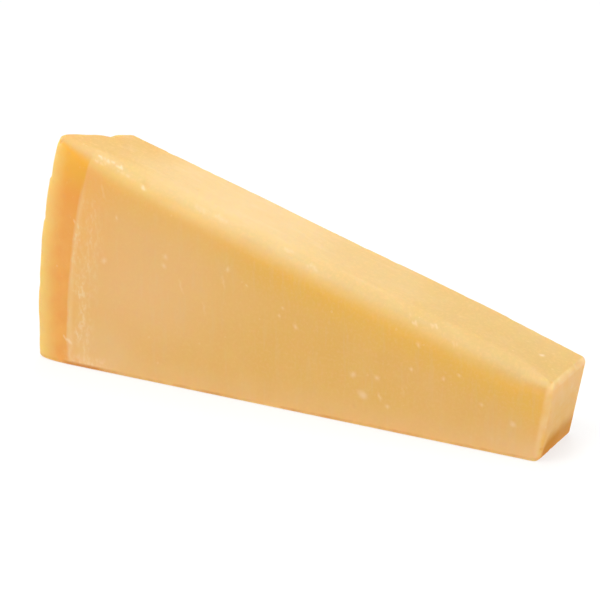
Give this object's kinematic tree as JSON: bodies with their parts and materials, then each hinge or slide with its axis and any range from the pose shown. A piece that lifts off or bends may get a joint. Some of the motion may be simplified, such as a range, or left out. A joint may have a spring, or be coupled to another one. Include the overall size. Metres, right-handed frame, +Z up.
{
  "type": "parmesan chunk",
  "caption": "Long thin wedge of hard aged cheese with a rounded rind end, smooth cut faces and a blunt cut tip, lying on one cut side.",
  "frame": {"origin": "middle of the bounding box, on the flat cut face that the chunk lies on", "axes": "+X from the rind to the cut tip, +Y from the front cut face to the back one, +Z up"},
  "size_m": [0.1524, 0.0236, 0.0644],
  "materials": {
    "cheese": "smooth knife-cut paste with a soft waxy sheen, orange rind at the thick end"
  },
  "bodies": {
    "root": {"parmesan_chunk": "cheese"}
  },
  "joints": []
}
